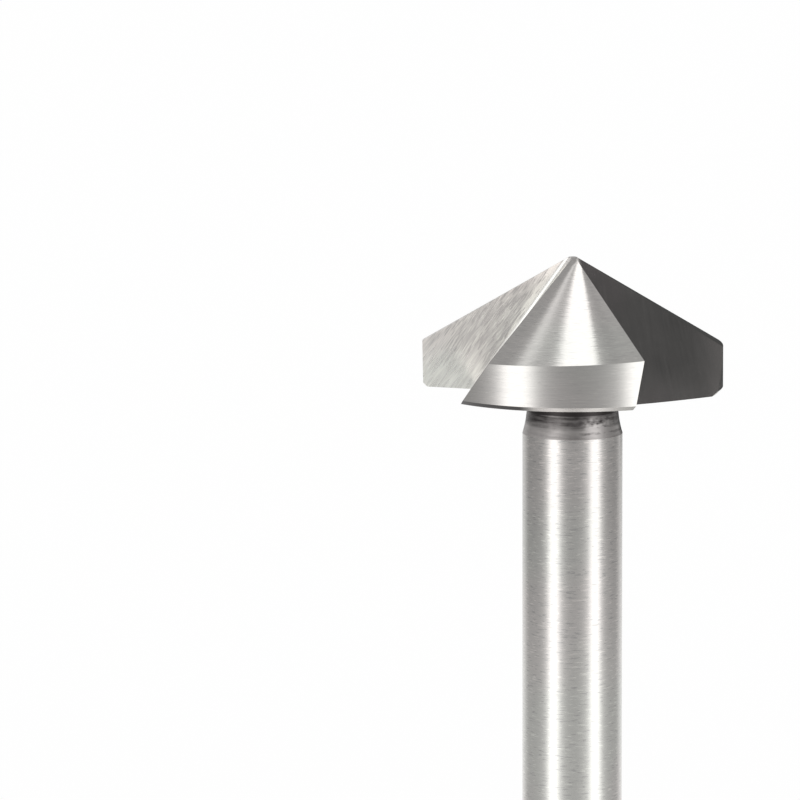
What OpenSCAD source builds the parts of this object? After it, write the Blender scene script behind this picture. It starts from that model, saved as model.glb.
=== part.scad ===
// Countersink bit, three straight ground flutes, right-hand cutting.
// Turned from one bar, so it is one solid: a plain round shank, a waisted neck,
// and a head with a cylindrical land and a cone that ends in a small flat tip.
// The axis is Z, the shank end stands on z = 0 and the tip points up.

/* [Overall] */
// Length from the shank end to the tip
overall_len = 68; // [60:0.5:90]
// Direction of the first cutting edge at the rim, seen from above
first_edge = -62; // [-180:0.1:180]

/* [Head] */
// Diameter of the head over its cutting edges
head_d = 30; // [27:0.5:34]
// Angle of the cone, measured across the whole point
point_angle = 120; // [108:1:126]
// Height of the cylindrical land below the cone
land_h = 4.85; // [4:0.05:6]
// Diameter of the flat at the tip
tip_flat_d = 0.8; // [0.6:0.1:2]
// Chamfer along the lower rim of the land
rim_chamfer = 0.4; // [0.1:0.05:0.6]
// Slope of the underside, falling from the rim to the neck
underside_angle = 4; // [1:0.5:6]

/* [Cutting edges] */
// Lean of the flute bottom away from the axis
flute_lean = 35.3; // [33:0.5:38]
// Roll of the rake face about the flute bottom, from straight outwards
rake_roll = 20; // [16:0.5:23]
// Angle between the rake face and the back face of a flute
flute_angle = 72.5; // [70:0.5:78]
// Radius along the bottom of a flute
flute_bottom_r = 0.6; // [0.5:0.05:1.1]
// How far the sharp corner of a flute lies past the axis
flute_overcut = 0.19; // [0.1:0.02:0.4]
// How far the sharp corner of a flute lies beside the axis
flute_side_shift = 0; // [-0.1:0.01:0.1]
// Tilt that lets each tooth's cone fall away behind its cutting edge
relief_angle = 1.4; // [0.8:0.1:3]

/* [Neck] */
// Smallest diameter of the neck
neck_d = 9.1; // [8:0.1:9.4]
// Radius of the flare from the neck out to the shank
neck_flare_r = 10; // [5:0.5:12]
// Radius of the corner between the neck and the underside
neck_corner_r = 0.7; // [0.4:0.1:1.2]
// Straight length between the flare and the corner
neck_straight = 0.05; // [0.05:0.05:2]

/* [Shank] */
// Diameter of the shank
shank_d = 10; // [9.6:0.1:12]
// Chamfer around the shank end
shank_end_chamfer = 0.4; // [0.1:0.1:0.8]

/* [Hidden] */
$fn = 96;
edges = 3;

head_r = head_d / 2;
shank_r = shank_d / 2;
neck_r = neck_d / 2;
tip_r = tip_flat_d / 2;

// Heights, worked down from the point where the cone would end in a sharp tip
cone_slope = tan(90 - point_angle / 2);
apex_z = overall_len + tip_r * cone_slope;
rim_top_z = apex_z - head_r * cone_slope;
rim_low_z = rim_top_z - land_h;

// Centre of the rounded corner between the neck and the underside of the head
corner_x = neck_r + neck_corner_r;
corner_top_z = rim_low_z - (head_r - corner_x) * tan(underside_angle);
corner_z = corner_top_z - neck_corner_r / cos(underside_angle);

// The flare is an arc that starts along the neck and ends on the shank's surface. It
// bends outwards below a neck thinner than the shank, and inwards below a thicker one.
flare_step = shank_r - neck_r;
flare_h = sqrt(2 * neck_flare_r * abs(flare_step) - flare_step * flare_step);
waist_z = corner_z - neck_straight;
shank_top_z = waist_z - flare_h;

// A flute's section: where its rounding sits, and how far the cutter reaches
corner_half = flute_angle / 2;
round_dist = flute_bottom_r / sin(corner_half);
flute_overrun = 4;
flute_len = (head_r + land_h) / cos(flute_lean) + flute_overrun;
flute_reach = 2 * head_r;
flute_lead_in = head_r;

// How far the cutting edge's end at the rim is turned from the flute bottom, found
// from where the rake plane crosses the circle at the top of the land
rake_out = -sin(rake_roll);
rake_across = cos(rake_roll);
rake_offset = -rake_out * flute_overcut - rake_across * flute_side_shift;
rake_plan_x = rake_out * cos(flute_lean);
rake_rise = rake_out * sin(flute_lean);
rake_plan = norm([rake_plan_x, rake_across]);
cone_h = head_r * cone_slope;
edge_turn = atan2(rake_across, rake_plan_x)
          - acos((rake_offset + rake_rise * cone_h) / (head_r * rake_plan));

// A tooth's cone is ground to a blank that leans about a line a little ahead of its
// edge, over a sector that reaches into both flutes
relief_start = 4;
tooth_ahead = 32;
tooth_behind = 92;
tooth_reach = 1.5 * head_r;
blank_h = tooth_reach * cone_slope;
relief_depth = cone_h + land_h / 2;

// Steps along each turned or ground arc
arc_steps = 8;

// A point at an angle and a distance from the origin of a section
function arm(angle, len) = len * [cos(angle), sin(angle)];

// Points of an arc about a centre, from one angle to another
function arc(centre, r, from, to) =
    [for (i = [0 : arc_steps]) centre + arm(from + (to - from) * i / arc_steps, r)];

// Points of the flare, from the shank up to the neck
function flare_points() =
    let(flare_end = asin(flare_h / neck_flare_r))
    [for (i = [arc_steps : -1 : 0])
        let(a = flare_end * i / arc_steps)
        [neck_r + sign(flare_step) * neck_flare_r * (1 - cos(a)),
         waist_z - neck_flare_r * sin(a)]];

// Half a section of the turned stock: shank, flared neck, corner, underside and land.
// The land runs up to the tip's height, because grinding gives the head its cone.
module stock_outline() {
    polygon(concat(
        [[0, 0], [shank_r - shank_end_chamfer, 0], [shank_r, shank_end_chamfer]],
        flare_points(),
        arc([corner_x, corner_z], neck_corner_r, 180, 90 + underside_angle),
        [[head_r - rim_chamfer, rim_low_z - rim_chamfer * tan(underside_angle)],
         [head_r, rim_low_z + rim_chamfer],
         [head_r, overall_len],
         [0, overall_len]]
    ));
}

module turned_stock() {
    rotate_extrude() stock_outline();
}

// The cone of one tooth, leaning so that its skin drops behind the edge
module leaning_cone() {
    translate([0, 0, apex_z])
        rotate([relief_angle, 0, 0])
            translate([0, 0, -blank_h])
                cylinder(r1 = tooth_reach, r2 = 0, h = blank_h);
}

// What relief grinding takes off above one tooth
module relief_cut() {
    rotate([0, 0, relief_start])
        difference() {
            translate([0, 0, apex_z - relief_depth])
                linear_extrude(relief_depth)
                    polygon([
                        [0, 0],
                        arm(tooth_ahead, tooth_reach),
                        arm((tooth_ahead - tooth_behind) / 2, tooth_reach * sqrt(2)),
                        arm(-tooth_behind, tooth_reach)
                    ]);
            leaning_cone();
        }
}

// Section of a flute: a V with a rounded bottom, x outwards and y across
module flute_section() {
    back_roll = rake_roll + flute_angle;
    middle = rake_roll + corner_half;
    translate([-flute_overcut, -flute_side_shift])
        polygon(concat(
            arc(arm(middle, round_dist), flute_bottom_r, back_roll + 90, rake_roll + 270),
            [arm(rake_roll, flute_reach),
             arm(middle, flute_reach / cos(corner_half)),
             arm(back_roll, flute_reach)]
        ));
}

// One flute, ground straight along a line that leans out from the tip
module flute_cut() {
    translate([0, 0, apex_z])
        rotate([0, -flute_lean, 0])
            translate([0, 0, -flute_len])
                linear_extrude(flute_len + flute_lead_in)
                    flute_section();
}

module countersink_bit() {
    color([0.66, 0.66, 0.65])
        difference() {
            turned_stock();
            for (i = [0 : edges - 1])
                rotate([0, 0, first_edge + i * 360 / edges]) {
                    relief_cut();
                    rotate([0, 0, -edge_turn]) flute_cut();
                }
        }
}

countersink_bit();
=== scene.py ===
# %% [markdown]
# # A countersink bit in ground steel
#
# A countersink bit is turned from one bar of steel and then ground. The lathe leaves a plain
# shank, a waisted neck and a thick head. The grinder cuts straight flutes into the head, and
# takes a thin shell off each tooth so that only its leading edge touches the work.
#
# This lesson rebuilds that bit as one fine mesh over its CAD solid, gives each ground and
# turned surface its own steel, and lights it the way shiny tools are photographed: inside
# a pale light tent with two tall soft lamps.

# %% Open the frame
import math
import bpy
import numpy as np
from mathutils import Matrix, Vector


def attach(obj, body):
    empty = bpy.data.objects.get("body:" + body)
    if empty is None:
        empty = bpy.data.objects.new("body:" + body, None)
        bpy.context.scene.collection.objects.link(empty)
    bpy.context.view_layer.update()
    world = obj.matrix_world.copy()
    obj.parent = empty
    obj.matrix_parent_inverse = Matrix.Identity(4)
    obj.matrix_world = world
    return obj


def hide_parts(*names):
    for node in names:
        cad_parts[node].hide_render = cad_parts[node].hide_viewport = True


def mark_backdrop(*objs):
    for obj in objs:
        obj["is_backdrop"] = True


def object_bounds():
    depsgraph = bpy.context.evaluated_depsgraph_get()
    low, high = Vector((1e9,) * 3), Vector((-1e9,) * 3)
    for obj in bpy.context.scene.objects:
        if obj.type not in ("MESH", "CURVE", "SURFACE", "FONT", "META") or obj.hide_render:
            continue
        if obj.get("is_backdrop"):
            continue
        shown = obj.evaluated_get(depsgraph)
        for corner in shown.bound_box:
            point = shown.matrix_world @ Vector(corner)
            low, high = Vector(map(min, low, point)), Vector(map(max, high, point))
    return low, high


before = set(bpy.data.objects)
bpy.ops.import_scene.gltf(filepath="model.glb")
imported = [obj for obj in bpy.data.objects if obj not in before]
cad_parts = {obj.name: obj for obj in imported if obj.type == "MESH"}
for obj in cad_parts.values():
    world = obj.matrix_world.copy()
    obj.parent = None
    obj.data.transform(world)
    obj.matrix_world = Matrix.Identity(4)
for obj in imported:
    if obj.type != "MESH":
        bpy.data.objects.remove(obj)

bpy.context.view_layer.update()

# %% [markdown]
# ## The sizes
#
# Blender can't read the CAD source, so the sizes that shape the bit are written once more,
# in millimetres and degrees. Heights are worked down from the apex, the point where the
# cone would end if its tip weren't blunt.

# %% Sizes of the bit
MM = 0.001
RAD = math.pi / 180

overall_len, head_r, land_h, point_angle = 68.0, 15.0, 4.85, 120 * RAD
tip_r, rim_chamfer, underside = 0.4, 0.4, 4 * RAD
neck_r, neck_flare_r, neck_corner_r, neck_straight = 4.55, 10.0, 0.7, 0.05
shank_r, shank_end_chamfer = 5.0, 0.4
first_edge, edge_count = -62 * RAD, 3
flute_lean, rake_roll, flute_angle = 35.3 * RAD, 20 * RAD, 72.5 * RAD
flute_bottom_r, flute_overcut, flute_side_shift = 0.6, 0.19, 0.0
relief, relief_start = 1.4 * RAD, 4 * RAD

cone_slope = 1 / math.tan(point_angle / 2)
apex_z = overall_len + tip_r * cone_slope
rim_top_z = apex_z - head_r * cone_slope
rim_low_z = rim_top_z - land_h
print(f"apex at {apex_z:.3f} mm, land from {rim_low_z:.2f} to {rim_top_z:.2f} mm")

# %% [markdown]
# ## The turned part
#
# Shank, neck, underside and land are one surface of revolution: a profile of radius
# against height, carried round the axis. The neck flares into the shank along a large
# arc, and meets the underside in a small one.

# %% Profile below the cone
def arc(centre, radius, start, stop, steps):
    """Points centre + radius * (cos, sin) for angles that run evenly from start to stop."""
    angle = np.linspace(start, stop, steps + 1)
    return np.stack([centre[0] + radius * np.cos(angle), centre[1] + radius * np.sin(angle)], -1)


flare_steps, corner_steps = 14, 12
corner_x = neck_r + neck_corner_r
corner_top_z = rim_low_z - (head_r - corner_x) * math.tan(underside)
corner_z = corner_top_z - neck_corner_r / math.cos(underside)
waist_z = corner_z - neck_straight
flare_step = shank_r - neck_r
flare_h = math.sqrt(2 * neck_flare_r * flare_step - flare_step ** 2)
flare_end = math.asin(flare_h / neck_flare_r)

shank_rows = np.array([[0, 0], [shank_r - shank_end_chamfer, 0], [shank_r, shank_end_chamfer]])
flare_centre = (neck_r + neck_flare_r, waist_z)
flare_rows = arc(flare_centre, neck_flare_r, math.pi + flare_end, math.pi, flare_steps)
corner_rows = arc((corner_x, corner_z), neck_corner_r, math.pi, math.pi / 2 + underside, corner_steps)
rim_rows = np.array([[head_r - rim_chamfer, rim_low_z - rim_chamfer * math.tan(underside)],
                     [head_r, rim_low_z + rim_chamfer]])
turned_rows = np.concatenate([shank_rows, flare_rows, corner_rows, rim_rows])
print("profile points below the cone:", len(turned_rows))

# %% [markdown]
# ## The ground cone
#
# Each tooth's cone belongs to a blank of its own, which leans 1.4 degrees about a level
# line near the tooth's cutting edge. Behind the edge such a cone lies a little lower
# than the edge itself, which is what lets the tool cut. The land below it is left
# upright, so its top edge dips behind each cutting edge.
#
# One grid of rows and columns holds all three teeth. It changes blank in the middle of
# a flute, where the steel is about to be cut away.

# %% Cones of the leaning teeth
columns = 720
half_column = math.pi / columns
angle = np.linspace(-math.pi, math.pi, columns, endpoint=False) + half_column
pitch = 2 * math.pi / edge_count
blank_ahead = 34 * RAD
cone_rings, last_cone_r = 16, 0.6


def tooth_turn(direction):
    """How far the blank of the tooth that lies in a direction is turned round the axis.

    Tooth number floor((first edge + reach ahead - direction) / pitch) counts backwards from
    the first edge, and each one is turned by one pitch less than the one before.
    """
    tooth = np.floor((first_edge + blank_ahead - direction) / pitch)
    return first_edge - tooth * pitch + relief_start


def nearest_column(direction):
    """Number of the column that lies nearest to a direction."""
    return np.argmin(abs(angle - direction))


def cone_fall():
    """How far each column's leaning cone falls for 1 mm of radius.

    A point one mm out and f down lies on the leaning cone where, in the cone's own frame,
    its depth is the slope times its distance from the cone's axis. Squared, that is
    a f^2 + b f + c = 0, and the cone is at the larger root.
    """
    x, y = np.cos(angle - tooth_turn(angle)), np.sin(angle - tooth_turn(angle))
    sine, cosine, steep = math.sin(relief), math.cos(relief), cone_slope ** 2
    a = cosine ** 2 - steep * sine ** 2
    b = 2 * y * sine * cosine * (1 + steep)
    c = y ** 2 * sine ** 2 - steep * (x ** 2 + y ** 2 * cosine ** 2)
    return (np.sqrt(b ** 2 - 4 * a * c) - b) / (2 * a)


def ring(radius, height):
    """The points (radius cos a, radius sin a, height), one in each column's direction a."""
    return np.stack([radius * np.cos(angle), radius * np.sin(angle), height + 0 * angle], -1)


fall = cone_fall()
cone_radii = np.linspace(head_r, last_cone_r, cone_rings)
rings = np.array([ring(r, z) for r, z in turned_rows[1:]]
                 + [ring(r, apex_z - r * fall) for r in cone_radii]
                 + [ring((apex_z - overall_len) / fall, overall_len)])
print("rings:", rings.shape[0], "of", rings.shape[1], "points")
drop = (fall[nearest_column(first_edge - 60 * RAD)] - fall[nearest_column(first_edge)]) * head_r
print(f"60 degrees behind an edge the rim lies {drop:.2f} mm lower")

# %% [markdown]
# ## From rings to a mesh
#
# Neighbouring rings are joined by quads, and a single point closes each end. The vertex
# arrays go into the mesh in one call each, with no loop over vertices.

# %% Make the uncut blank
def new_object(name, points, faces):
    """Makes a mesh object of points in millimetres and a list of faces."""
    mesh = bpy.data.meshes.new(name)
    mesh.from_pydata((np.asarray(points) * MM).tolist(), [], faces)
    mesh.validate()
    obj = bpy.data.objects.new(name, mesh)
    bpy.context.scene.collection.objects.link(obj)
    return obj


def ring_quads(rows, cols):
    """Quads between each ring and the next, wrapping round and facing outwards.

    Corner numbers are row * cols + column, and the column after the last one is 0.
    """
    r, c = np.meshgrid(np.arange(rows - 1), np.arange(cols), indexing="ij")
    n = (c + 1) % cols
    quads = np.stack([r * cols + c, r * cols + n, (r + 1) * cols + n, (r + 1) * cols + c], -1)
    return quads.reshape(-1, 4)


rows = len(rings)
count = rows * columns
body_points = np.concatenate([rings.reshape(-1, 3), [[0, 0, 0], [0, 0, overall_len]]])
c = np.arange(columns)
n = (c + 1) % columns
bottom_fan = np.stack([n, c, np.full(columns, count)], -1)
top_fan = np.stack([c + count - columns, n + count - columns, np.full(columns, count + 1)], -1)
body_faces = ring_quads(rows, columns).tolist() + bottom_fan.tolist() + top_fan.tolist()
blank = new_object("bit_blank", body_points, body_faces)
print("uncut blank:", len(blank.data.vertices), "vertices,", len(blank.data.polygons), "faces")

# %% [markdown]
# ## The flutes
#
# A flute is a V with a rounded bottom, carried along a straight line that leans 35 degrees
# from the axis. One wall is the rake face of the tooth behind it, the other is the broad
# back of the tooth ahead. The section is one polyline, and the cutter is that polyline
# carried along the line, closed at both ends.

# %% Cutters for the flutes
wall_reach, lead_in, flute_len, round_steps = 30, 15, 28, 24
corner_half = flute_angle / 2
back_roll, middle_roll = rake_roll + flute_angle, rake_roll + corner_half
round_at = flute_bottom_r / math.sin(corner_half)
corner = np.array([-flute_overcut, -flute_side_shift])
round_centre = corner + round_at * np.array([math.cos(middle_roll), math.sin(middle_roll)])
round_from, round_to = back_roll + math.pi / 2, rake_roll + 1.5 * math.pi
round_line = arc(round_centre, flute_bottom_r, round_from, round_to, round_steps)


def arm(roll, length):
    """A section point at an angle and a distance from the flute's sharp corner."""
    return corner + length * np.array([math.cos(roll), math.sin(roll)])


far_corner = arm(middle_roll, wall_reach / math.cos(corner_half))
section = np.concatenate([
    round_line, [arm(rake_roll, wall_reach), far_corner, arm(back_roll, wall_reach)]])

# The cutting edge ends where the plane of the rake face crosses the circle at the top of the land.
rake_sin, rake_cos = math.sin(rake_roll), math.cos(rake_roll)
plan_x = -rake_sin * math.cos(flute_lean)
plane_at = rake_sin * flute_overcut - rake_cos * flute_side_shift
plane_at -= rake_sin * math.sin(flute_lean) * head_r * cone_slope
edge_turn = math.atan2(rake_cos, plan_x) - math.acos(plane_at / (head_r * math.hypot(plan_x, rake_cos)))
print(f"flute line turned {edge_turn / RAD:.2f} degrees behind its cutting edge")


def flute_axes(k):
    """Outward, across and along directions of flute k, in the frame of the bit."""
    turn = first_edge + k * pitch - edge_turn
    flat = np.array([math.cos(turn), math.sin(turn), 0])
    up = np.array([0, 0, 1.0])
    outward = math.cos(flute_lean) * flat + math.sin(flute_lean) * up
    across = np.array([-math.sin(turn), math.cos(turn), 0])
    along = math.sin(flute_lean) * flat - math.cos(flute_lean) * up
    return outward, across, along


def flute_cutter(k):
    """The section, carried along the flute's line from above the apex to below the rim."""
    outward, across, along = flute_axes(k)
    flat_section = section[:, :1] * outward + section[:, 1:] * across + [0, 0, apex_z]
    points = np.concatenate([flat_section - lead_in * along, flat_section + flute_len * along])
    m = len(section)
    i = np.arange(m)
    sides = np.stack([i, i + m, (i + 1) % m + m, (i + 1) % m], -1).tolist()
    return new_object(f"flute_cutter_{k}", points, sides + [i.tolist(), (i[::-1] + m).tolist()])


cutters = [flute_cutter(k) for k in range(edge_count)]

# %% [markdown]
# ## Cut the flutes
#
# A Boolean modifier takes the cutters away from the blank. Its result is read back as
# a plain mesh, so no modifier stays on the finished piece.

# %% Cut
cutter_set = bpy.data.collections.new("flute_cutters")
for cutter in cutters:
    cutter_set.objects.link(cutter)
cut = blank.modifiers.new("cut", "BOOLEAN")
cut.operation, cut.solver = "DIFFERENCE", "MANIFOLD"
cut.operand_type, cut.collection = "COLLECTION", cutter_set
bpy.context.view_layer.update()
cut_mesh = bpy.data.meshes.new_from_object(blank.evaluated_get(bpy.context.evaluated_depsgraph_get()))
cut_mesh.name = "bit_steel"
bit = bpy.data.objects.new("bit_steel", cut_mesh)
bpy.context.scene.collection.objects.link(bit)
for obj in [blank, *cutters]:
    bpy.data.objects.remove(obj)
bpy.data.collections.remove(cutter_set)
print("cut bit:", len(cut_mesh.vertices), "vertices,", len(cut_mesh.polygons), "faces")

# %% [markdown]
# ## Frames to measure in
#
# A leaning cone and a leaning flute are hard to describe in the bit's own frame, and easy
# in frames of their own. In a tooth's blank the cone stands upright, so its depth is the
# slope times the radius. In a flute's section both walls are straight lines through one
# corner. Two small functions carry points there, those of faces now and corners later.

# %% Frames
def read(collection, name, width):
    """Reads one attribute of a mesh collection into an array.

    width says how many numbers each item has, and -1 stands for one whole number.
    """
    values = np.zeros(len(collection) * abs(width), np.float64 if width > 0 else np.int64)
    collection.foreach_get(name, values)
    return values.reshape(-1, width) if width > 1 else values


def to_blank(points, turn, centre=(0, 0)):
    """Turns and leans points back into a tooth's blank, measured from a centre near its axis."""
    x = points[:, 0] * np.cos(turn) + points[:, 1] * np.sin(turn) - centre[0]
    y = -points[:, 0] * np.sin(turn) + points[:, 1] * np.cos(turn) - centre[1]
    z = points[:, 2] - apex_z
    y, z = y * math.cos(relief) + z * math.sin(relief), -y * math.sin(relief) + z * math.cos(relief)
    return np.stack([x, y, z], -1)


def to_section(points, k):
    """Points in flute k's own frame: outward and across from its sharp corner, and along its line."""
    outward, across, along = flute_axes(k)
    p = points - [0, 0, apex_z]
    return np.stack([p @ outward - corner[0], p @ across - corner[1], p @ along], -1)


rake_way = np.array([rake_cos, rake_sin])
back_way = np.array([math.cos(back_roll), math.sin(back_roll)])
rake_out = np.array([-rake_way[1], rake_way[0]])
back_out = np.array([back_way[1], -back_way[0]])
WALLS = (("rake", rake_way, rake_out, 1), ("back", back_way, back_out, -1))
round_middle = round_centre - corner
middles = read(cut_mesh.polygons, "center", 3) / MM
facing = read(cut_mesh.polygons, "normal", 3)
print("middles of faces reach from", middles.min(0).round(2), "to", middles.max(0).round(2), "mm")

# %% [markdown]
# ## Which surface is which
#
# The cut mesh is one closed skin, but the real bit shows several finishes: the turned
# shank and neck, the ground cone and land, and the two walls of each flute. They could be
# built one by one and joined, but sorting the faces of one skin leaves no seams. Every
# face goes to the ideal surface that its middle lies on. The flutes come last, because
# they were ground last, and their bottoms take only what no wall has claimed.

# %% Sort the faces into surfaces
TURNED = ["shank_end", "shank", "neck", "underside", "rim", "land", "cone", "tip"]
ZONES = TURNED + ["rake", "back", "flute_bottom"]

# How far a face's middle may lie from a flat surface and from a curved one, in millimetres
on_flat, on_curve = 0.01, 0.02

radius = np.hypot(middles[:, 0], middles[:, 1])
height = middles[:, 2]
up_share = facing[:, 2]
face_turn = tooth_turn(np.arctan2(middles[:, 1], middles[:, 0]))
in_blank = to_blank(middles, face_turn)
off_cone = abs(in_blank[:, 2] + np.hypot(in_blank[:, 0], in_blank[:, 1]) * cone_slope)
underside_r = corner_x - neck_corner_r * math.sin(underside)

# up_share is 1 where a face looks straight up, 0 where it is upright and -1 where it looks down.
zone = np.full(len(middles), ZONES.index("shank_end"))
for name, here in (
        ("shank", height > on_flat),
        ("neck", height > waist_z - flare_h),
        ("underside", (height > corner_z) & (radius > underside_r) & (up_share < -0.9)),
        ("rim", (radius > head_r / 2) & (up_share < -0.5) & (up_share > -0.9)),
        ("land", (radius > head_r - on_curve) & (abs(up_share) < 0.2)),
        ("cone", (off_cone < on_curve) & (up_share > 0.7)),
        ("tip", (height > overall_len - on_flat / 2) & (up_share > 0.99))):
    zone[here] = ZONES.index(name)

flute = np.full(len(middles), -1)
sorted_before = [ZONES.index(name) for name in ("underside", "land", "rake", "back", "flute_bottom")]
for k in range(edge_count):
    local = to_section(middles, k)
    in_section = local[:, :2]
    outward, across, _ = flute_axes(k)
    in_reach = local[:, 2] < flute_len
    for name, away, out, _ in WALLS:
        world_out = out[0] * outward + out[1] * across
        on = (abs(in_section @ out) < on_flat) & (facing @ world_out > 0.999)
        on &= in_reach & (in_section @ away > 0)
        zone[on], flute[on] = ZONES.index(name), k
    near = np.maximum(in_section @ rake_out, in_section @ back_out) < 2 * flute_bottom_r
    off_round = abs(np.hypot(*(in_section - round_middle).T) - flute_bottom_r)
    on = in_reach & near & (off_round < on_flat) & (radius > tip_r / 2) & (up_share < 0.98)
    on &= ~np.isin(zone, sorted_before)
    zone[on], flute[on] = ZONES.index("flute_bottom"), k
areas = read(cut_mesh.polygons, "area", 1) / MM ** 2
for i, name in enumerate(ZONES):
    print(f"{name:13s} {np.sum(zone == i):6d} faces {areas[zone == i].sum():8.1f} mm2")

# %% [markdown]
# ## Exact directions and a map for the marks
#
# Each corner of each face gets the direction that the ideal surface has there, so a flat
# stays dead flat up to its edge and a cylinder shines without facets. Smooth shading
# alone would round every sharp edge. Along with the directions goes a map of the bit in
# millimetres: one number runs along the grinding or turning marks, and the other across
# them. The steel below draws its marks with it.

# %% Corners and the first map
corner_vertex = read(cut_mesh.loops, "vertex_index", -1)
corner_count = read(cut_mesh.polygons, "loop_total", -1)
corner_face = np.repeat(np.arange(len(corner_count)), corner_count)
points = read(cut_mesh.vertices, "co", 3)[corner_vertex] / MM
corner_zone, corner_flute = zone[corner_face], flute[corner_face]
round_r = np.maximum(np.hypot(points[:, 0], points[:, 1]), 1e-6)
outwards = points[:, :2] / round_r[:, None]

ways = facing[corner_face].copy()
along_marks = np.arctan2(points[:, 1], points[:, 0]) * shank_r
across_marks = points[:, 2].copy()
print("corners:", len(points))

# %% [markdown]
# ## Directions of the turned surfaces
#
# On a turned surface the direction follows from the profile: straight outwards on the
# shank and the land, and partly up or down on the arcs and chamfers. The cones are an
# exception: in the photograph their highlight starts beside the tip, so their directions
# fan out from a centre a little ahead of the axis.

# %% Turned surfaces
diagonal = math.sqrt(0.5)


def turned_way(sideways, upwards):
    """Directions that point sideways from the axis by one amount and up by the other."""
    return np.stack([outwards[:, 0] * sideways, outwards[:, 1] * sideways, upwards + 0 * round_r], -1)


def from_blank(x, y, z, turn):
    """Leans and turns directions out of a tooth's blank, the other way round than to_blank."""
    y, z = y * math.cos(relief) - z * math.sin(relief), y * math.sin(relief) + z * math.cos(relief)
    return np.stack([x * np.cos(turn) - y * np.sin(turn), x * np.sin(turn) + y * np.cos(turn), z], -1)


# A corner's blank is the one of its face, because a point on an edge could pick its neighbour's.
fan_centre = (0.32, 0.51)
turn = face_turn[corner_face]
fan_x, fan_y, _ = to_blank(points, turn, fan_centre).T
fan_r = np.maximum(np.hypot(fan_x, fan_y), 1e-6)
slant = math.atan(cone_slope)

for name in TURNED:
    here = corner_zone == ZONES.index(name)
    if name == "shank":
        chamfered = middles[corner_face, 2] < shank_end_chamfer
        way = np.where(chamfered[:, None], turned_way(diagonal, -diagonal), turned_way(1.0, 0.0))
    elif name == "neck":
        flare = np.clip((waist_z - points[:, 2]) / neck_flare_r, 0, 1)
        fillet = np.clip((points[:, 2] - corner_z) / neck_corner_r, 0, 1)
        way = turned_way(np.sqrt(1 - np.maximum(flare, fillet) ** 2), flare - fillet)
    elif name == "underside":
        way = turned_way(math.sin(underside), -math.cos(underside))
        across_marks[here] = -round_r[here]
    elif name == "rim":
        way = turned_way(diagonal, -diagonal)
    elif name == "land":
        way = turned_way(1.0, 0.0)
    elif name == "cone":
        level = math.sin(slant) / fan_r
        way = from_blank(fan_x * level, fan_y * level, math.cos(slant), turn)
        across_marks[here] = fan_r[here] / math.cos(slant)
    else:
        continue
    ways[here] = way[here]
print("corners of cones:", np.sum(corner_zone == ZONES.index("cone")))

# %% [markdown]
# ## Directions of the flutes
#
# A wall of a flute is flat, so all its corners get one direction, and those of the round
# bottom look at the centre of the rounding. Here the marks run along the flute, as
# a grinding wheel leaves them. Then directions and map go into the mesh.

# %% Flutes
for k in range(edge_count):
    local = to_section(points, k)
    outward, across, _ = flute_axes(k)
    for name, away, out, side in WALLS:
        here = (corner_zone == ZONES.index(name)) & (corner_flute == k)
        ways[here] = out[0] * outward + out[1] * across
        along_marks[here], across_marks[here] = local[here, 2], side * (local[here, :2] @ away)
    here = (corner_zone == ZONES.index("flute_bottom")) & (corner_flute == k)
    inward = (round_middle - local[here, :2]) / flute_bottom_r
    ways[here] = inward[:, :1] * outward + inward[:, 1:] * across
    along_marks[here] = local[here, 2]
    across_marks[here] = np.arctan2(inward[:, 1], inward[:, 0])
ways /= np.linalg.norm(ways, axis=1, keepdims=True)

cut_mesh.polygons.foreach_set("use_smooth", np.ones(len(zone), bool))
cut_mesh.normals_split_custom_set(ways.tolist())
marks_map = cut_mesh.uv_layers.new(name="marks")
marks_map.data.foreach_set("uv", np.stack([along_marks, across_marks], -1).ravel())
agreement = np.einsum("ij,ij->i", ways, facing[corner_face])
widest = math.degrees(math.acos(agreement.min()))
print(f"largest angle between a face and its directions: {widest:.1f} degrees")

# %% [markdown]
# ## Shader maths as Python
#
# A material is a net of nodes. Writing the sums out as Python keeps them readable: a
# small class wraps a node's output, and adding, subtracting or multiplying two of them
# adds the Math node that does it. Every other node comes from one method.

# %% A socket that can be reckoned with
class Sock:
    """An output socket of a node tree. Arithmetic on it adds Math nodes."""

    def __init__(self, tree, socket):
        self.tree, self.socket = tree, socket

    def _math(self, operation, a, b):
        """One Math node of two numbers or sockets."""
        return self.tree.add("ShaderNodeMath", {"operation": operation}, {0: a, 1: b})

    def __add__(self, other):
        return self._math("ADD", self, other)

    def __sub__(self, other):
        return self._math("SUBTRACT", self, other)

    def __rsub__(self, other):
        return self._math("SUBTRACT", other, self)

    def __mul__(self, other):
        return self._math("MULTIPLY", self, other)

    def __truediv__(self, other):
        return self._math("DIVIDE", self, other)

    def __rtruediv__(self, other):
        return self._math("DIVIDE", other, self)

    def __pow__(self, other):
        return self._math("POWER", self, other)

    __radd__, __rmul__ = __add__, __mul__


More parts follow.
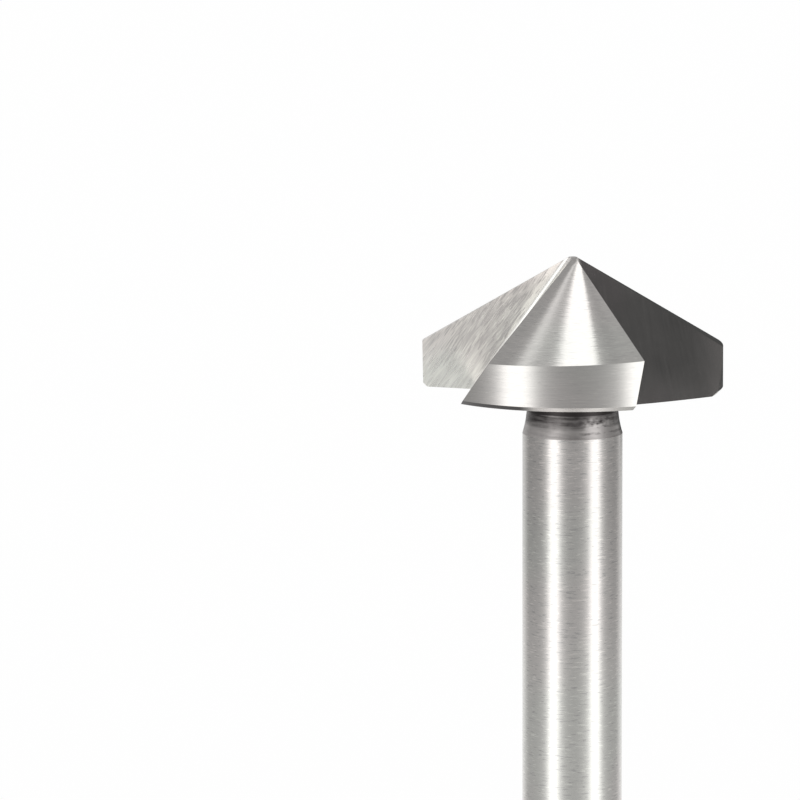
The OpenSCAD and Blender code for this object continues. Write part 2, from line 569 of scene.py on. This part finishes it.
class Tree:
    """A node tree that is emptied and then filled by add()."""

    def __init__(self, nodes_of):
        nodes_of.use_nodes = True
        self.nodes, self.links = nodes_of.node_tree.nodes, nodes_of.node_tree.links
        self.nodes.clear()

    def add(self, kind, settings=None, inputs=None, output=0):
        """Adds a node: its settings first, then its sockets. Returns one of its outputs."""
        node = self.nodes.new(kind)
        for name, value in (settings or {}).items():
            setattr(node, name, value)
        for name, value in (inputs or {}).items():
            if isinstance(value, Sock):
                self.links.new(value.socket, node.inputs[name])
            else:
                node.inputs[name].default_value = value
        return Sock(self, node.outputs[output]) if node.outputs else node

    def vector(self, x, y, z):
        """A vector of three numbers."""
        return self.add("ShaderNodeCombineXYZ", None, {0: x, 1: y, 2: z})

    def split(self, vector):
        """The three numbers of a vector."""
        first = self.add("ShaderNodeSeparateXYZ", None, {0: vector})
        return [Sock(self, out) for out in first.socket.node.outputs]

    def angle(self, a, b):
        """The angle in degrees whose tangent is a / b, from -180 to 180."""
        return self.add("ShaderNodeMath", {"operation": "ARCTAN2"}, {0: a, 1: b}) * (1 / RAD)

    def noise(self, vector, scale, detail=2.0, roughness=0.5):
        """Noise from 0 to 1: detail octaves, each one weaker than the last by roughness."""
        return self.add("ShaderNodeTexNoise", None, {
            "Vector": vector, "Scale": scale, "Detail": detail, "Roughness": roughness})

    def step(self, value, low, high):
        """A soft step from 0 below low to 1 above high."""
        return self.add("ShaderNodeMapRange", {"interpolation_type": "SMOOTHSTEP"},
                        {"Value": value, "From Min": low, "From Max": high})

    def blend(self, factor, a, b):
        """Colour a where factor is 0 and b where it is 1."""
        node = self.add("ShaderNodeMix", {"data_type": "RGBA"}, None, 2).socket.node
        for name, value in ((0, factor), (6, a), (7, b)):
            if isinstance(value, Sock):
                self.links.new(value.socket, node.inputs[name])
            else:
                node.inputs[name].default_value = value if name == 0 else (*value, 1)
        return Sock(self, node.outputs[2])


print("a tree can make:", ", ".join(name for name in vars(Tree) if not name.startswith("_")))

# %% [markdown]
# ## Steel
#
# All of the bit is one steel, so its materials differ only in how the surface was
# worked. A cutting or grinding tool leaves fine marks in rows. They are drawn by noise
# that is stretched along the marks, and they do three things at once: they tilt the
# surface a little (bump), they make it rougher or smoother, and they catch some dirt.
# A second, slow noise gives the stains and the uneven wipe of a handled tool, and a third
# one turns the steel a trace green or pink. Scratches come on top: short ticks on the
# turned surfaces, and long lines on the rake faces. One function makes them all, so
# that the surfaces stay a family.

# %% Steel
GREENISH, PINKISH = (0.98, 1.0, 0.975), (1.02, 0.985, 0.985)


def steel(name, light, dark, rough, marks, tilt, anisotropic=0.0, turned=True, stain=0.25,
          fine=9.0, streak=0.35, scratches=0.0, extra=None):
    """Steel with rows of marks. light and dark are its two colours.

    marks, stain and scratches are contrasts, tilt is the depth of the bump in mm, fine says how
    close the rows lie and streak how short they are. turned is for marks that run round the
    axis. extra is a function of the tree, the place in metres and the map in mm, and what it
    returns is added to the shade:
    shade = 0.5 + stain (stains - 0.5) + marks ((ticks - 0.5) + 0.8 (bands - 0.5)) + the rest.
    """
    material = bpy.data.materials.new(name)
    t = Tree(material)
    u, v, _ = t.split(t.add("ShaderNodeUVMap", {"uv_map": "marks"}))
    place = t.add("ShaderNodeTexCoord", None, None, 3)
    x, y, _ = t.split(place)
    if turned:
        thin = t.vector(x * (1000 * streak), y * (1000 * streak), v * fine)
        wide = t.vector(x * (1000 * streak / 3), y * (1000 * streak / 3), v * (fine / 4))
    else:
        thin = t.vector(u * streak, x * 60, v * fine)
        wide = t.vector(u * (streak / 3), x * 40, v * (fine / 5))
    ticks = t.noise(thin, 1.0, 2.0 if turned else 1.0)
    bands = t.noise(wide, 1.0, 3.0)
    stains = t.noise(place, 220.0, 4.0, 0.6)
    row = (ticks - 0.5) * marks + (bands - 0.5) * (marks * 0.8)
    shade = (stains - 0.5) * stain + 0.5 + row
    if scratches and turned:
        cuts = t.noise(t.vector(x * 1100, y * 1100, v * 8), 1.0, 1.0)
        shade = shade + (t.step(cuts, 0.62, 0.72) - t.step(cuts, 0.38, 0.28)) * scratches
    elif scratches:
        swerve = (t.noise(place, 170.0, 1.0) - 0.5) * 7
        cuts = t.noise(t.vector(u * 0.7, x * 60, v * 7 + swerve), 1.0, 1.0, 0.6)
        lines = t.step(cuts, 0.42, 0.32) * 0.4 - t.step(cuts, 0.55, 0.66)
        shade = shade + lines * t.step(u, 18, 8) * scratches
    if extra:
        shade = shade + extra(t, place, u, v)
    hue = t.step(t.noise(place, 70.0, 1.0), 0.42, 0.58)
    greenish, pinkish = [tuple(a * b for a, b in zip(light, tint)) for tint in (GREENISH, PINKISH)]
    colour = t.blend(shade, dark, t.blend(hue, greenish, pinkish))
    roughness = (stains - 0.5) * (rough * 0.6) + (ticks - 0.5) * (rough * 0.5) + rough
    bump = t.add("ShaderNodeBump", None, {
        "Height": ticks + bands * 1.5, "Strength": 1.0, "Distance": tilt * MM})
    shader = t.add("ShaderNodeBsdfPrincipled", None, {
        "Base Color": colour, "Metallic": 1.0, "Roughness": roughness, "Normal": bump,
        "Anisotropic": anisotropic, "Anisotropic Rotation": 0.25})
    t.add("ShaderNodeOutputMaterial", None, {"Surface": shader})
    return material


print("tints of the steel:", GREENISH, PINKISH)

# %% [markdown]
# ## What single surfaces have more
# Some surfaces get more in their shade than the marks. The neck is darkened under the head
# as painted shade, with a painted shadow line near its top, the rim has painted shade on its
# left side, the rake face has a painted highlight along each flute bottom with painted shade
# beside it, and the back faces are darker in their middle. Each of these is a small sum of
# soft steps over the map, which steel() adds to its shade. A painted picture would do too,
# but sums stay sharp at any size and can be read.

# %% Painted shade, a painted highlight and fades
def neck_marks_and_shade(t, place, u, v):
    """Rows and specks, a rubbed patch at the right with a dark line, and painted shade below the head
    with a painted shadow line near the top of the neck.
    """
    x, y, z = t.split(place)
    rows = t.noise(t.vector(x * 260, y * 260, z * 2600), 1.0, 2.0)
    specks = t.noise(t.vector(x * 1500, y * 1500, z * 3000), 1.0, 2.0)
    below = waist_z - v
    rubbed = t.step(x, 0.0006, 0.0020) * t.step(x, 0.0044, 0.0034) * t.step(below, 0.6, 1.5)
    # Painted shade: darker under the head, and a painted shadow line near the top of the neck.
    shade_under_head = t.step(below, 2.3, 1.0) * 0.45 + t.step(below, 0.72, 0.55) * 0.7
    line = t.step(below, 2.6, 2.45) * t.step(below, 2.2, 2.35) * t.step(x, 0.0004, 0.0012)
    # Lighter lower down, where the painted shade under the head ends.
    low = t.step(below, 1.6, 2.2) * 0.32
    marks = (rows - 0.5) * 1.1 + (specks - 0.5) * (rubbed * 2.4 + 0.4)
    return marks + rubbed * 0.4 + low - line * 0.5 - shade_under_head + 0.15


def rake_highlight_and_shade(t, place, u, v):
    """A painted highlight as a bright strip along the flute bottom, painted shade beside it, and a
    lighter upper part.
    """
    # Painted shade towards the flute bottom, beside the painted highlight.
    bottom_shade = t.step(v, 8, 4.5) * t.step(u, 2, 6) * t.step(u, 16.5, 13)
    # Painted highlight: a bright strip along the flute bottom that fades towards the rim.
    return t.step(v, 1.45, 1.1) * t.step(u, 14, 2) * 0.9 - bottom_shade * 0.45 + t.step(u, 11, 5) * 0.12 + 0.17


def back_fade(t, place, u, v):
    """Darker in the middle of the face, lighter near the tip, the lower edge and the rim."""
    cloudy = (t.noise(place, 60.0) - 0.5) * 0.4
    return t.step(u, 1, 6) * -0.25 + t.step(u, 12, 17) * 0.25 + t.step(v, -10, -14.5) * 0.6 + cloudy


def rim_left_shade(t, place, u, v):
    """Painted shade on the part of the rim that lies to the left, and the rest of the rim a little
    lighter.
    """
    x, _, _ = t.split(place)
    # Painted shade: the left part of the rim is darkened.
    return t.step(x, -0.0035, -0.0055) * -0.7 + 0.15


extras = {"neck": neck_marks_and_shade, "rake": rake_highlight_and_shade, "back": back_fade, "rim": rim_left_shade}
print("surfaces with more:", ", ".join(extras))

# %% [markdown]
# ## Eleven finishes
#
# The turned shank is bright with fine rows, the neck dull and dark with painted shade under
# the head, the land and the cone are ground smooth, and the walls of the flutes are the
# brightest. The sawn shank end and the underside are rough. All eleven are made by steel(),
# and each face of the bit takes the one of its surface. In the part's list they are one material,
# ground steel.

# %% Finishes
BRIGHT, GREY, DULL = (0.72, 0.71, 0.69), (0.46, 0.455, 0.45), (0.24, 0.235, 0.23)
finishes = {
    "shank_end": steel("steel_sawn", GREY, DULL, 0.35, 0.5, 0.004),
    "shank": steel("steel_shank", BRIGHT, GREY, 0.2, 0.3, 0.0012, 0.6, streak=1.0, scratches=0.6),
    # The neck's near-black dark colour gives its painted shade and painted shadow line their depth.
    "neck": steel("steel_neck", GREY, (0.05, 0.045, 0.045), 0.4, 0.4, 0.004, 0.3,
                  extra=extras["neck"]),
    "underside": steel("steel_underside", GREY, DULL, 0.32, 0.6, 0.004),
    # The rim's near-black dark colour lets its painted shade go dark.
    "rim": steel("steel_rim", BRIGHT, (0.1, 0.095, 0.095), 0.25, 0.3, 0.002,
                 extra=extras["rim"]),
    "land": steel("steel_land", BRIGHT, GREY, 0.13, 0.3, 0.001, 0.5, scratches=0.15),
    "cone": steel("steel_cone", BRIGHT, GREY, 0.1, 0.35, 0.0026, streak=1.3, fine=6.0, scratches=0.25),
    "tip": steel("steel_tip", BRIGHT, GREY, 0.3, 0.3, 0.002),
    "rake": steel("steel_rake", (0.97, 0.96, 0.925), (0.5, 0.495, 0.485), 0.3, 1.0, 0.005,
                  turned=False, stain=0.15, fine=6.0, streak=0.5, scratches=1.0,
                  extra=extras["rake"]),
    "back": steel("steel_back", (0.97, 0.91, 0.915), (0.42, 0.415, 0.41), 0.22, 0.15, 0.0015,
                  turned=False, extra=extras["back"]),
    "flute_bottom": steel("steel_flute", (0.97, 0.96, 0.94), BRIGHT, 0.3, 0.05, 0.0002,
                          turned=False, stain=0.1),
}
cut_mesh.materials.clear()
for name in ZONES:
    cut_mesh.materials.append(finishes[name])
cut_mesh.polygons.foreach_set("material_index", zone.astype(np.int32))
cut_mesh.update()
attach(bit, "root")
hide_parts("countersink_bit")
print("finishes:", len(finishes))

# %% [markdown]
# ## The floor and the light tent
#
# Shiny steel shows the room, so the room is the lighting. The bit stands on a pale floor
# inside a light tent, a dome that the camera looks through but the steel mirrors. Both
# are profiles carried round the axis, like the bit itself. Single lamps would show in
# the steel as hard shapes, while a dome can be bright or dim wherever it is needed.

# %% Floor and tent
def surface_of_turning(name, profile, steps=96):
    """Turns a profile of (radius, height) in millimetres round the axis, open at both ends."""
    a = np.linspace(0, 2 * math.pi, steps, endpoint=False)
    r, z = profile[:, :1], profile[:, 1:]
    rings = np.stack([r * np.cos(a), r * np.sin(a), z + 0 * a], -1)
    return new_object(name, rings.reshape(-1, 3), ring_quads(len(profile), steps).tolist())


floor_profile = np.array([[1.0, 0.0], [200, 0], [900, 0], [3000, 0]])
floor = surface_of_turning("floor", floor_profile)
tent_r, tent_steps = 600, 24
tent_wall = arc((0, 0), tent_r, 0.001, 1.56, tent_steps)
tent_profile = np.concatenate([[[6.0, 0.05], [100, 0.05], [300, 0.05]], tent_wall])
tent = surface_of_turning("light_tent", tent_profile)
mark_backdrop(floor, tent)
print("faces of the floor:", len(floor.data.polygons), "and of the tent:", len(tent.data.polygons))

# %% [markdown]
# ## White paper
#
# The photograph's ground is plain white. Paper alone would turn grey away from the light,
# so the floor mostly glows by itself where the camera or a mirror sees it. The rest is
# true paper, which takes the bit's soft shadow.

# %% Paper
PURE_WHITE, PAPER, glow_share = (1, 1, 1, 1), (0.97, 0.97, 0.97, 1), 0.85
white = bpy.data.materials.new("floor_white")
t = Tree(white)
seen = t.add("ShaderNodeLightPath")
glossy = Sock(t, seen.socket.node.outputs["Is Glossy Ray"])
through = Sock(t, seen.socket.node.outputs["Is Transmission Ray"])
paper = t.add("ShaderNodeBsdfDiffuse", None, {"Color": PAPER})
glow = t.add("ShaderNodeEmission", None, {"Color": PURE_WHITE, "Strength": 1.0})
lit = (seen + glossy + through) * glow_share
shown = t.add("ShaderNodeMixShader", None, {0: lit, 1: paper, 2: glow})
t.add("ShaderNodeOutputMaterial", None, {"Surface": shown})
floor.data.materials.append(white)
print("share of the floor that glows:", glow_share)

# %% [markdown]
# ## Light in the tent
#
# The lower part of the tent, the walls, has pale cloth, two tall soft lamps at the front
# left and front right with wide dim skirts, a small lamp at the left, and a dark card at
# the back right. The upper part, the roof, has a strip overhead at the back that makes
# the white wedge on the cone, a thin ribbon beside it, and a dark gap high at the front,
# above the opening for the camera. Places in the tent are given in degrees, as the head
# sees them: round_way from the front to the right, behind from the back to the right, and
# rise upwards.

# %% Tent light
head_height = 58 * MM
lamp_left, lamp_right, skirt_right = -43, 53.5, 52
tent_light = bpy.data.materials.new("tent_light")
t = Tree(tent_light)
x, y, z = t.split(t.add("ShaderNodeTexCoord", None, None, 3))
round_way = t.angle(x, y * -1)
behind = t.angle(x, y)
rise = t.angle(z - head_height, (x * x + y * y) ** 0.5)


def hill(value, middle, width):
    """A smooth hill 1 / (1 + d^4), where d is the distance from the middle in widths."""
    d = (value - middle) / width
    return 1 / (d * d * d * d + 1)


from_back = t.add("ShaderNodeMath", {"operation": "ABSOLUTE"}, {0: behind})
high = t.step(rise, 20, 34)
low = 1 - high
lamps = hill(round_way, lamp_left, 14) * 1.2 + hill(round_way, lamp_right, 14) * 1.2
skirts = hill(round_way, lamp_left, 27) * 0.25 + hill(round_way, skirt_right, 29) * 0.25
cloth = t.step(from_back, 65, 30) * 0.4 + t.step(rise, -9, -24) * 0.22 + 0.37
card = t.step(behind, -3, 1) * t.step(behind, 40, 35) * t.step(rise, -10.6, -9.8)
side_lamp = hill(round_way, -98, 22) * hill(rise, 20, 6) * 0.7
walls = (lamps + skirts + cloth) * (1 - card * 0.9) + side_lamp
strip = t.step(behind, -24, -16.5) * (t.step(behind, 12, 8.5) * 1.2 + t.step(behind, 24, 10) * 0.15)
ribbon = (hill(rise, 61.9, 1.9) * 0.44 + t.step(rise, 58.5, 62.5) * 0.2) * t.step(behind, -19, -23)
ends = t.step(behind, -60, -40) * t.step(behind, 60, 40)
roof = strip + (ribbon + t.step(behind, 20, 26) * 0.1) * ends + t.step(from_back, 90, 50) * 0.36 + 0.11
brightness = walls * low + roof * high
glow = t.add("ShaderNodeEmission", None, {"Color": (1, 0.995, 0.985, 1), "Strength": brightness})
t.add("ShaderNodeOutputMaterial", None, {"Surface": glow})
tent.data.materials.append(tent_light)
tent.visible_camera = tent.visible_diffuse = tent.visible_shadow = False
print("nodes in the tent's light:", len(t.nodes))

# %% [markdown]
# ## Beyond the tent
#
# The camera and the floor don't see the tent, so they need a room of their own: a plain
# white world, which gives the white background and lights the paper evenly.

# %% World
world = bpy.data.worlds.new("room")
bpy.context.scene.world = world
t = Tree(world)
sky = t.add("ShaderNodeBackground", None, {"Color": PURE_WHITE, "Strength": 1.0})
t.add("ShaderNodeOutputWorld", None, {"Surface": sky})
print("world:", world.name)

# %% [markdown]
# ## The camera
#
# The photograph was taken from well back with a long lens, a little above the head. Its
# distance and lens come from the way the round edges foreshorten, and the camera is
# aimed so that the apex of the cone falls on the right spot of the picture.

# %% Camera
picture, sensor = 800, 36
distance, down_angle, roll = 0.7, 7.751 * RAD, -0.06 * RAD
pixels_per_radian = 7034
apex = Vector((0, 0, apex_z * MM))
apex_at = (572.7, 254.63)

data = bpy.data.cameras.new("camera")
data.sensor_width, data.lens = sensor, sensor * pixels_per_radian / picture
data.clip_start, data.clip_end = 0.01, 20
camera = bpy.data.objects.new("camera", data)
bpy.context.scene.collection.objects.link(camera)
bpy.context.scene.camera = camera
right = Vector((1, 0, 0))
up = Vector((0, math.sin(down_angle), math.cos(down_angle)))
forward = Vector((0, math.cos(down_angle), -math.sin(down_angle)))
right, up = right * math.cos(roll) - up * math.sin(roll), right * math.sin(roll) + up * math.cos(roll)
aim_x, aim_y = [(at - picture / 2) / pixels_per_radian for at in apex_at]
aim = Vector((aim_x, -aim_y, 1))
swing = Vector((0, 0, 1)).rotation_difference(aim.normalized()).to_matrix()
basis = Matrix((right, up, forward)).transposed() @ swing.transposed()
pose = Matrix((basis.col[0], basis.col[1], -basis.col[2])).transposed().to_4x4()
pose.translation = apex - distance * forward
camera.matrix_world = pose
print("camera at", [round(v, 4) for v in camera.location], "lens", round(data.lens, 1), "mm")

# %% [markdown]
# ## Last settings
#
# The view transform is Standard, so white stays white and a colour renders as written.
# The visual box is printed, so that the looks can be held against the CAD sizes.

# %% Finish
bpy.context.scene.view_settings.view_transform = "Standard"
low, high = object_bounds()
print("visual box in mm:", [round(1000 * v, 2) for v in (*low, *high)])
